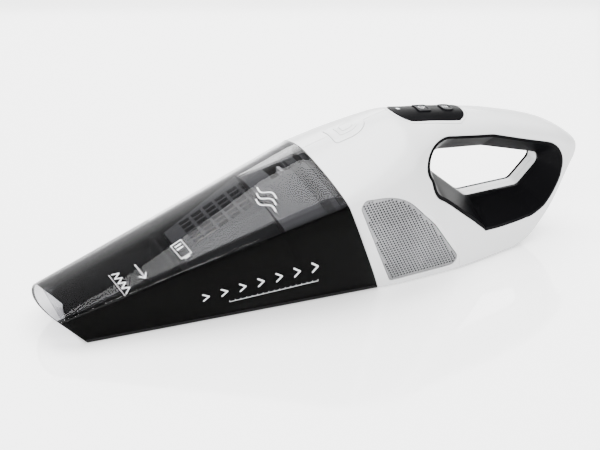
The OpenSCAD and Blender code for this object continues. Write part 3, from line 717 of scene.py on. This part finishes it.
def whole_housing():
    ring_space = RING_THICK + RING_GAP
    housing = skin("housing", 0.0)
    cutters = [
        cut(inner_skin(), flare_solid("liner", ring_space + WALL, STRIP_WALL)),
        flare_solid("opening", ring_space, 0, LINING_HALF),
    ]
    cutters += both_sides(facet_cutter())
    cutters += both_sides(grille_pocket(SEAT_GROW, SEAT_DEPTH))
    cutters += both_sides(grille_pocket(WINDOW_GROW, WINDOW_DEPTH))
    cutters += [
        cut(panel_prism("panel_pocket", panel_outline(PANEL_GAP)), top_skin("under", PANEL_SEAT)),
        panel_prism("panel_window", panel_outline(-PANEL_EDGE)),
        cut(panel_groove(GROOVE_FAR, GROOVE_NEAR), top_skin("under", GROOVE_DEPTH)),
        prism("release_window", release_outline(*RELEASE, RELEASE_GAP), *RELEASE_SPAN),
        socket_bore(),
    ]
    return cut(housing, *cutters)


housing = whole_housing()
for side, name in ((1, "left"), (-1, "right")):
    half = new_copy(housing, "shell_" + name)
    cut(half, slab("side", -side * PARTING, side * FAR_Y))
    if side < 0:
        for x, z in SCREWS:
            ring = disc(x, z, SCREW_RADIUS, 32)
            cut(half, loft("screw_bore", [[(u, y, v) for u, v in ring] for y in SCREW_BORE_Y]))
    smooth(half, 28)
    place(half, "body", "white_gloss", WHITE, "housing_" + name)
bpy.data.objects.remove(housing)


# ---------------------------------------------------------------- handle lining
def left_lining():
    solid = flare_solid("lining_left", RING_THICK, 0, LINING_HALF - 1)
    overlap(solid, skin("limit", -RING_PROUD))
    return cut(solid, flare_solid("space", 0, 0), slab("other", -LINING_HALF - RING_GAP, FAR_Y))


lining = left_lining()
for obj, node in ((lining, "handle_ring_left"), (mirrored(lining, "lining_right"), "handle_ring_right")):
    smooth(obj, 40)
    place(obj, "body", "black_gloss", BLACK, node)


# ---------------------------------------------------------------- exhaust grilles
def add_cell(bm, cx, cz, radius):
    """One twelve-sided cell of the triangular grid, with a round hole, or whole when radius is None."""
    steps = [(k, math.radians(30 * k)) for k in range(HOLE_SIDES)]
    border = []
    for k, a in steps:
        r = GRILLE_PITCH / 2 if k % 2 == 0 else GRILLE_PITCH / math.sqrt(3)
        border.append(bm.verts.new((cx + r * math.cos(a), 0, cz + r * math.sin(a))))
    if radius is None:
        bm.faces.new(border)
        return
    rim = [bm.verts.new((cx + radius * math.cos(a), 0, cz + radius * math.sin(a))) for k, a in steps]
    for k in range(HOLE_SIDES):
        following = (k + 1) % HOLE_SIDES
        bm.faces.new((border[k], border[following], rim[following], rim[k]))


def perforated(name, edge):
    """Flat plate with round holes on a triangular grid, clipped to a convex outline: x, z and its normal."""
    bm = bmesh.new()
    xs, zs = [p[0] for p in edge], [p[1] for p in edge]
    row_height = GRILLE_PITCH * math.sin(math.radians(60))
    for row in range(int(min(zs) / row_height) - 2, int(max(zs) / row_height) + 3):
        for col in range(int(min(xs) / GRILLE_PITCH) - 2, int(max(xs) / GRILLE_PITCH) + 3):
            cx, cz = (col + (row % 2) / 2) * GRILLE_PITCH, row * row_height
            depth = min((x - cx) * nx + (z - cz) * nz for x, z, nx, nz in edge)
            if depth >= -GRILLE_PITCH:
                add_cell(bm, cx, cz, GRILLE_HOLE if depth >= GRILLE_MARGIN else None)
    bmesh.ops.remove_doubles(bm, verts=bm.verts, dist=0.01)
    for x, z, nx, nz in edge:
        bmesh.ops.bisect_plane(
            bm, geom=bm.verts[:] + bm.edges[:] + bm.faces[:], dist=0.001, plane_co=(x, 0, z),
            plane_no=(nx, 0, nz), clear_outer=True,
        )
    mesh = bpy.data.meshes.new(name)
    bm.to_mesh(mesh)
    bm.free()
    obj = bpy.data.objects.new(name, mesh)
    bpy.context.scene.collection.objects.link(obj)
    solidify = obj.modifiers.new("thick", "SOLIDIFY")
    solidify.thickness, solidify.offset = GRILLE_THICK, 0
    apply_modifiers(obj)
    obj.data.transform(Matrix.Translation((0, GRILLE_DEPTH + GRILLE_THICK / 2, 0)))
    obj.data.transform(Matrix.Scale(MM, 4) @ FACET)
    return edit(obj, lambda b: bmesh.ops.recalc_face_normals(b, faces=b.faces))


grille_edge = [(x, z, math.cos(a), math.sin(a)) for x, z, a, s in chain(GRILLE, GRILLE_GROW, 8, 0)]
plate = perforated("exhaust_grille_left", grille_edge)
for obj, node in ((plate, "grille_left"), (mirrored(plate, "exhaust_grille_right"), "grille_right")):
    smooth(obj, 30)
    place(obj, "body", "silver_metal", SILVER, node)


# ---------------------------------------------------------------- control panel and keys
def panel_plate():
    panel = overlap(panel_prism("panel_plate", panel_outline(0)), top_skin("over", -PANEL_PROUD))
    holes = [key["hole"] for key in KEYS.values()] + [LENS_HOLE]
    cut(panel, top_skin("under", PANEL_THICK), *[panel_prism("hole", box_outline(*box)) for box in holes])
    bevel(panel, 0.3)
    return smooth(panel)


def key_cap(name, key):
    """A raised key with a dish in its top."""
    cap = overlap(panel_prism(name, box_outline(*key["cap"]), KEY_SPAN), top_skin("over", -KEY_PROUD))
    dish = panel_prism("dish", box_outline(*key["dish"]), KEY_SPAN)
    cut(cap, cut(dish, top_skin("under", -KEY_DISH)))
    bevel(cap, 0.25)
    return smooth(cap)


place(panel_plate(), "body", "black_gloss", BLACK, "control_panel")
for name, key in KEYS.items():
    place(key_cap(name, key), name, "black_plastic", KEY, key["node"])


# ---------------------------------------------------------------- release button
def release_layer(name, outline, proud, thick):
    """A plate that follows the skin, proud of it and reaching thick below it."""
    layer = overlap(prism(name, release_outline(*outline), *RELEASE_SPAN), top_skin("over", -proud))
    return cut(layer, top_skin("under", thick))


button = release_layer("release_cap", RELEASE, RELEASE_PROUD, RELEASE_THICK)
for outline, proud in RELEASE_STEPS:
    combine(button, "UNION", release_layer("pad", outline, proud, STEP_ROOT))
bevel(button, 0.35)
smooth(button)
place(button, "release", "white_gloss", WHITE, "release_button")


# ---------------------------------------------------------------- dust cup
def cup_shell():
    """Closed wall, from the outside round the lip to the inside and back round the rear rim."""
    outside, inside = [
        [list(map(tuple, row)) for row in cup_sections(inset, CUP_SECTIONS)] for inset in (0, CUP_WALL)
    ]
    return loft("cup_wall", outside + inside[::-1], ring=True)


def crease_z(x):
    """Height of the cup's side crease, where its side turns in to its top."""
    (front, z_front), (rear, z_rear) = [
        (row[0] - row[1] * row[SHOULDER_Z], row[SHOULDER_Z]) for row in CUP_ROWS
    ]
    return z_front + (z_rear - z_front) * (x - front) / (rear - front)


cup = cup_shell()
bevel(cup, 0.5, 3, 50)
smooth(cup, 24)
place(cup, "cup", "smoked_clear", SMOKE, "dust_cup")
cup.data.materials.append(SMOKE_SHADE_AND_LIP)
# Faces below the side crease take the darker tint as painted shade; faces at the lip take it as the dark edge
# round the mouth.
for face in cup.data.polygons:
    x, y, z = (c / MM for c in face.center)
    at_lip = x + LIP_LEAN * z - LIP_BOW * y * y < X_LIP + LIP_BAND
    face.material_index = 1 if z < crease_z(x) or at_lip else 0


# ---------------------------------------------------------------- marks, all of them plain signs
def capsule(a, b, r, n=5):
    """Outline of a stroke with round ends from a to b."""
    t = math.atan2(b[1] - a[1], b[0] - a[0])
    ends = ((b, t - math.pi / 2), (a, t + math.pi / 2))
    return [
        (c[0] + r * math.cos(t0 + math.pi * k / n), c[1] + r * math.sin(t0 + math.pi * k / n))
        for c, t0 in ends for k in range(n + 1)
    ]


def stroke(r, *points):
    return [capsule(a, b, r) for a, b in zip(points, points[1:])]


def repeated(n, points_of, r):
    """The strokes of n like signs, with points_of(k) for each."""
    return [outline for k in range(n) for outline in stroke(r, *points_of(k))]


def cup_place(k0, j0, turn=0.0):
    """Maps local millimetres (a to the rear, b up the side) and a height to the left side of the cup.

    The sign's middle lies at the fraction k0 of the cup's length and at point j0 of its section."""
    lip, rear = cup_sections(0, 2)

    def at(k, j):
        i, f = int(math.floor(j)), j - math.floor(j)
        a, b = lip[i] * (1 - f) + lip[i + 1] * f, rear[i] * (1 - f) + rear[i + 1] * f
        return a + (b - a) * k

    along = at(k0 + 0.01, j0) - at(k0, j0)
    up = at(k0, j0 + 0.1) - at(k0, j0)
    scale_k, scale_j = 0.01 / np.linalg.norm(along), 0.1 / np.linalg.norm(up)
    normal = np.cross(up, along)
    normal = normal / np.linalg.norm(normal)
    if normal[1] > 0:
        normal = -normal
    c, s = math.cos(math.radians(turn)), math.sin(math.radians(turn))
    skew = float(np.dot(along, up) / np.linalg.norm(along) / np.linalg.norm(up))

    def spot(a, b, h):
        a, b = a * c - b * s, a * s + b * c
        a -= b * skew
        return tuple(at(k0 + a * scale_k, j0 + b * scale_j) + normal * h)

    return spot


def panel_place(x):
    """Maps local millimetres round a point of the panel, a towards the tail, and a height to the skin."""
    rows = [section(r, 0) for r in densify(BODY_ROWS, ROWS_PER_SECTION)[PANEL_ROWS]]
    ridge = [max(row, key=lambda q: q[2])[0] for row in rows]

    def height(row, y):
        top = sorted(row[len(row) // 4: -len(row) // 4], key=lambda q: q[1])
        return float(np.interp(y, [q[1] for q in top], [q[2] for q in top]))

    def spot(a, b, h):
        p = PANEL @ Vector((x + a, b, 0))
        i = max(k for k in range(len(ridge) - 1) if ridge[k] <= p.x or k == 0)
        f = (p.x - ridge[i]) / (ridge[i + 1] - ridge[i])
        z = height(rows[i], p.y) * (1 - f) + height(rows[i + 1], p.y) * f
        return (p.x, p.y, z + h)

    return spot


def marks(name, body, groups, low=-0.05, high=0.07):
    """One piece with all the strokes of some signs, from a low to a high height over the surface."""
    verts, faces = [], []
    for spot, outlines in groups:
        for outline in outlines:
            n, base = len(outline), len(verts)
            verts += [spot(a, b, low) for a, b in outline] + [spot(a, b, high) for a, b in outline]
            faces += [tuple(base + k for k in range(n)), tuple(base + n + k for k in range(n))]
            faces += [(base + k, base + (k + 1) % n, base + n + (k + 1) % n, base + n + k) for k in range(n)]
    return place(new_object(name, verts, faces), body, "white_plastic", MARK)


battery = stroke(0.35, (-7, -4), (7, -4), (7, 4), (-7, 4), (-7, -4)) + stroke(0.5, (8.2, -1.6), (8.2, 1.6))
battery += repeated(2, lambda k: [(3 * k - 4, -2), (3 * k - 4, 2)], 0.6)
arrow = stroke(0.45, (-7, 0), (7, 0)) + stroke(0.45, (3.8, 2.4), (7, 0), (3.8, -2.4))
pleats = stroke(0.4, *[(-10 + 2.5 * k, 2.2 if k % 2 else -2.2) for k in range(9)])
pleats += stroke(0.25, (-11, -4), (11, -4))
waves = repeated(
    3, lambda k: [(a - 3 * k, 4.6 * k + 1.5 * math.sin(a * 0.42)) for a in np.linspace(-9, 9, 25)], 0.5,
)
chevrons = repeated(7, lambda k: [(13 * k, -3), (13 * k + 4, 0), (13 * k, 3)], 0.55)
scale_line = stroke(0.18, (0, 0), (64, 0)) + repeated(17, lambda k: [(4 * k, 0), (4 * k, 1.2)], 0.15)
marks("cup_marks", "cup", [
    (cup_place(0.25, 37.5, -80), pleats), (cup_place(0.32, 38.5, -80), arrow),
    (cup_place(0.47, 40, -80), battery), (cup_place(0.78, 41.5, -60), waves),
    (cup_place(0.43, 18.5), chevrons), (cup_place(0.5, 15.5), scale_line),
])

open_ring = [(2.1 * math.cos(a), 2.1 * math.sin(a)) for a in np.radians(np.linspace(35, 325, 15))]
power = stroke(0.24, *open_ring) + stroke(0.24, (0.6, 0), (2.9, 0))
speed = repeated(3, lambda k: [(-1.8 + 1.6 * k, -1.6 + 0.2 * k), (-1.8 + 1.6 * k, 1.6 - 0.2 * k)], 0.24)
KEY_MARK = (1.05, 1.17)
for name, key, sign in (("power_mark", "power_key", power), ("mode_mark", "mode_key", speed)):
    marks(name, key, [(panel_place(KEYS[key]["sign_x"]), sign)], *KEY_MARK)


# ---------------------------------------------------------------- floor, light and camera
def floor_material():
    """White floor with a faint reflection and a little light of its own."""
    mat, nodes, links, shader = new_material("floor_white")
    noise = nodes.new("ShaderNodeTexNoise")
    noise.inputs["Scale"].default_value = 3
    spread = nodes.new("ShaderNodeMapRange")
    spread.inputs["To Min"].default_value = 0.06
    spread.inputs["To Max"].default_value = 0.1
    links.new(noise.outputs["Fac"], spread.inputs["Value"])
    links.new(spread.outputs["Result"], shader.inputs["Roughness"])
    shader.inputs["Base Color"].default_value = (0.95, 0.95, 0.95, 1)
    shader.inputs["IOR"].default_value = 1.45
    shader.inputs["Emission Color"].default_value = (1, 1, 1, 1)
    shader.inputs["Emission Strength"].default_value = 0.45
    return mat


bpy.ops.mesh.primitive_plane_add(size=12, location=(0, 0, 0))
floor = bpy.context.object
floor.name = "floor"
floor.data.materials.append(floor_material())

world = bpy.data.worlds.new("studio")
bpy.context.scene.world = world
world.use_nodes = True
world.node_tree.nodes["Background"].inputs["Color"].default_value = (1, 1, 1, 1)
world.node_tree.nodes["Background"].inputs["Strength"].default_value = 0.95


def area_light(name, place_at, target, size, watts, size_y=None):
    data = bpy.data.lights.new(name, "AREA")
    data.shape, data.size, data.size_y, data.energy = "RECTANGLE", size, size_y or size, watts
    lamp = bpy.data.objects.new(name, data)
    bpy.context.scene.collection.objects.link(lamp)
    lamp.location = place_at
    lamp.rotation_euler = (Vector(target) - Vector(place_at)).to_track_quat("-Z", "Y").to_euler()


area_light("top_light", (0.1, 0.15, 1.5), (0, 0, 0), 1.6, 80, 1.2)
area_light("side_light", (-0.9, -1.1, 0.9), (0, 0, 0.05), 0.9, 40)
area_light("rear_light", (0.6, 1.4, 0.9), (0, 0, 0.05), 1.2, 30)

camera_data = bpy.data.cameras.new("camera")
camera = bpy.data.objects.new("camera", camera_data)
bpy.context.scene.collection.objects.link(camera)
camera.location = (-0.3924, -0.8455, 0.4931)
camera.rotation_euler = (math.radians(64), 0, math.radians(-24))
camera_data.lens, camera_data.sensor_width = 87, 36
camera_data.clip_end = 30
bpy.context.scene.camera = camera
